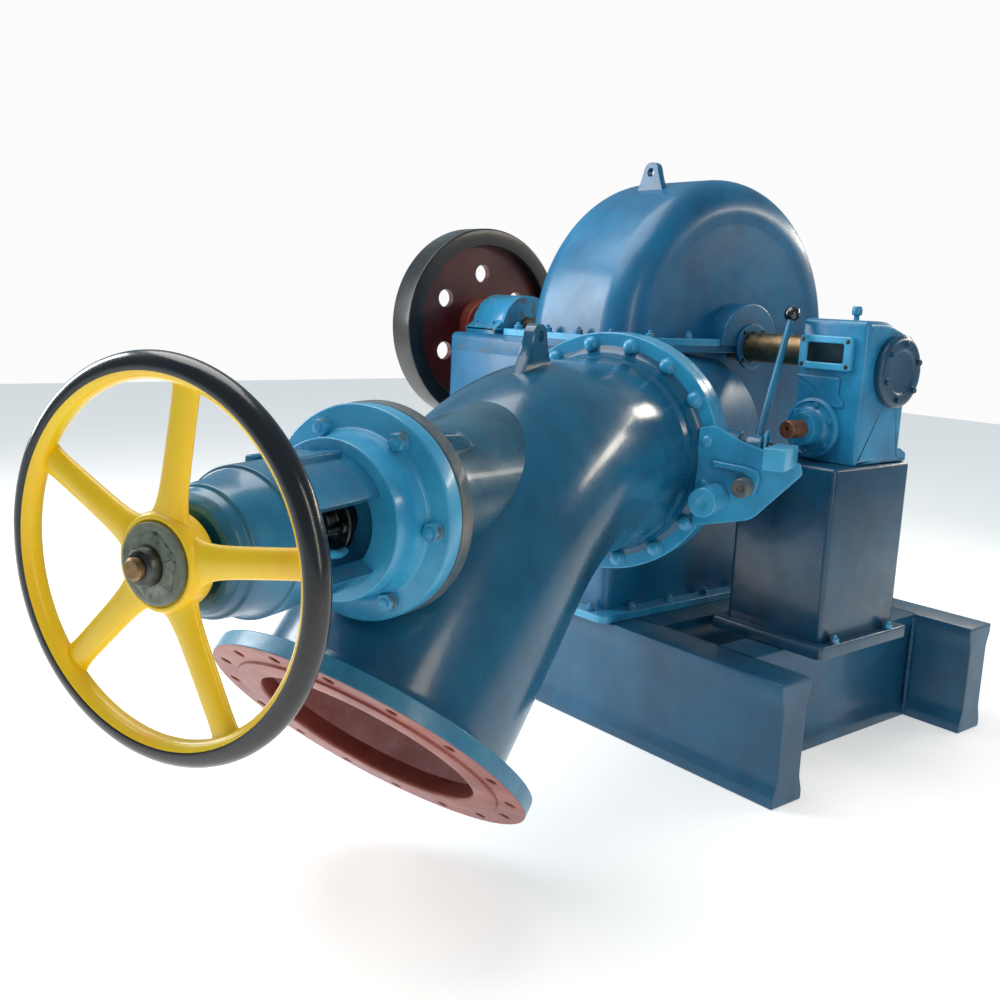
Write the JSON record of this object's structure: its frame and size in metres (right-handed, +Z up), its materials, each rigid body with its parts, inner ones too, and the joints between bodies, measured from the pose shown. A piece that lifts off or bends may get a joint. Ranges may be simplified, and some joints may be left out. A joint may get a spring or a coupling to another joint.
{
  "type": "inclined-jet impulse water turbine",
  "caption": "Horizontal-shaft inclined-jet impulse water turbine: round-topped casing with runner inside, inlet elbow, needle valve handwheel, deflector lever, bearings and flywheel.",
  "frame": {"origin": "middle of the whole outline, on the floor", "axes": "+X along the shaft from the flywheel towards the bearing box with the sight window, +Y away from the handwheel side, +Z up"},
  "size_m": [1.9187, 2.2691, 1.3565],
  "materials": {
    "casing_paint": "glossy peacock blue enamel over castings",
    "light_paint": "lighter blue enamel, brushed on",
    "yellow_paint": "gloss yellow enamel",
    "black_gloss": "gloss black enamel",
    "flywheel_iron": "black rim with a dark red web",
    "steel": "machined, lightly oiled",
    "bronze": "cast bronze, ground and polished",
    "hub_plate_paint": "flaking grey-green",
    "dark_cover": "dark painted cover",
    "glass": "sight glass"
  },
  "bodies": {
    "frame": {"bracket_plate": "light_paint", "casing_hood": "casing_paint", "casing_lower": "casing_paint", "elbow": "casing_paint", "end_cover": "dark_cover", "frame_beam_back": "casing_paint", "frame_beam_front": "casing_paint", "frame_cross_beam_1": "casing_paint", "frame_cross_beam_2": "casing_paint", "frame_cross_beam_3": "casing_paint", "frame_cross_beam_4": "casing_paint", "gland": "steel", "guide_block": "light_paint", "left_bearing": "light_paint", "left_stand": "casing_paint", "link_boss": "light_paint", "nozzle": "steel", "oil_cup": "steel", "right_housing": "light_paint", "right_stand": "light_paint", "round_cover": "light_paint", "seal_ring_left": "steel", "seal_ring_right": "steel", "stop_cylinder": "light_paint", "stub_shaft": "steel", "window_frame": "light_paint", "window_glass": "glass", "yoke": "light_paint"},
    "rotor": {"shaft": "steel", "runner": "bronze", "flywheel": "flywheel_iron"},
    "handwheel": {"handwheel_rim": "black_gloss", "handwheel_spider": "yellow_paint", "stem_nut": "steel", "hub_plate": "hub_plate_paint", "spindle_nut": "steel"},
    "needle": {"needle_rod": "steel"},
    "lever": {"deflector_lever": "light_paint", "lever_knob": "black_gloss", "deflector_pivot": "steel", "deflector": "steel"}
  },
  "joints": [
    {"name": "rotor_spin", "type": "hinge", "parent": "frame", "child": "rotor", "pos_m": [0.02897, 0.69217, 0.92], "axis": [1, 0, 0], "continuous": true},
    {"name": "handwheel_turn", "type": "hinge", "parent": "frame", "child": "handwheel", "pos_m": [0.72387, -1.02776, 0.689], "axis": [-0.3746, 0.9272, 0], "range_deg": [-1350, 1350]},
    {"name": "needle_slide", "type": "slide", "parent": "frame", "child": "needle", "axis": [-0.3746, 0.9272, 0], "range_m": [-0.0301, 0.0301]},
    {"name": "deflector_swing", "type": "hinge", "parent": "frame", "child": "lever", "pos_m": [0.18443, 0.30739, 0.716], "axis": [0.9272, 0.3746, 0], "range_deg": [-4, 20]}
  ],
  "couplings": [
    {"joint": "needle_slide", "follows": "handwheel_turn", "m_per_rad": 0.0012732}
  ]
}
